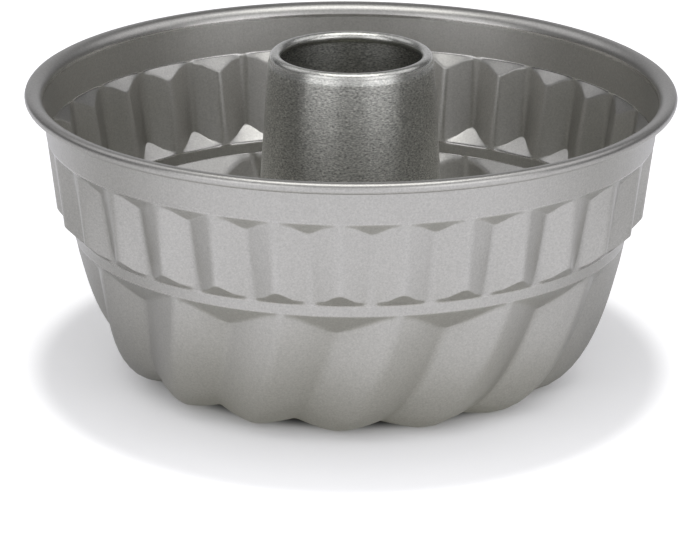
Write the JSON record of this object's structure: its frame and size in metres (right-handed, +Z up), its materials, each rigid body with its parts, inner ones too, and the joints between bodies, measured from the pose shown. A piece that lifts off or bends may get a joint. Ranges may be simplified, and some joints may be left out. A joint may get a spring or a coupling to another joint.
{
  "type": "kugelhopf mould",
  "caption": "Ring cake mould with a plain collar, pressed ribs, swirled flutes, a rolled rim and an open conical centre tube.",
  "frame": {"origin": "centre of the mould on the table, under its axis", "axes": "+Z up along the mould's axis, out of its open side; a flute's crest starts at +X"},
  "size_m": [0.24, 0.24, 0.1214],
  "materials": {
    "silver_coating": "satin silver-grey metallic non-stick coating with a fine sparkle",
    "turned_steel": "darker satin steel with fine turned rings",
    "wire_steel": "drawn steel wire"
  },
  "bodies": {
    "root": {"fluted_shell": "silver_coating", "centre_tube": "turned_steel", "rim_wire": "wire_steel"}
  },
  "joints": []
}
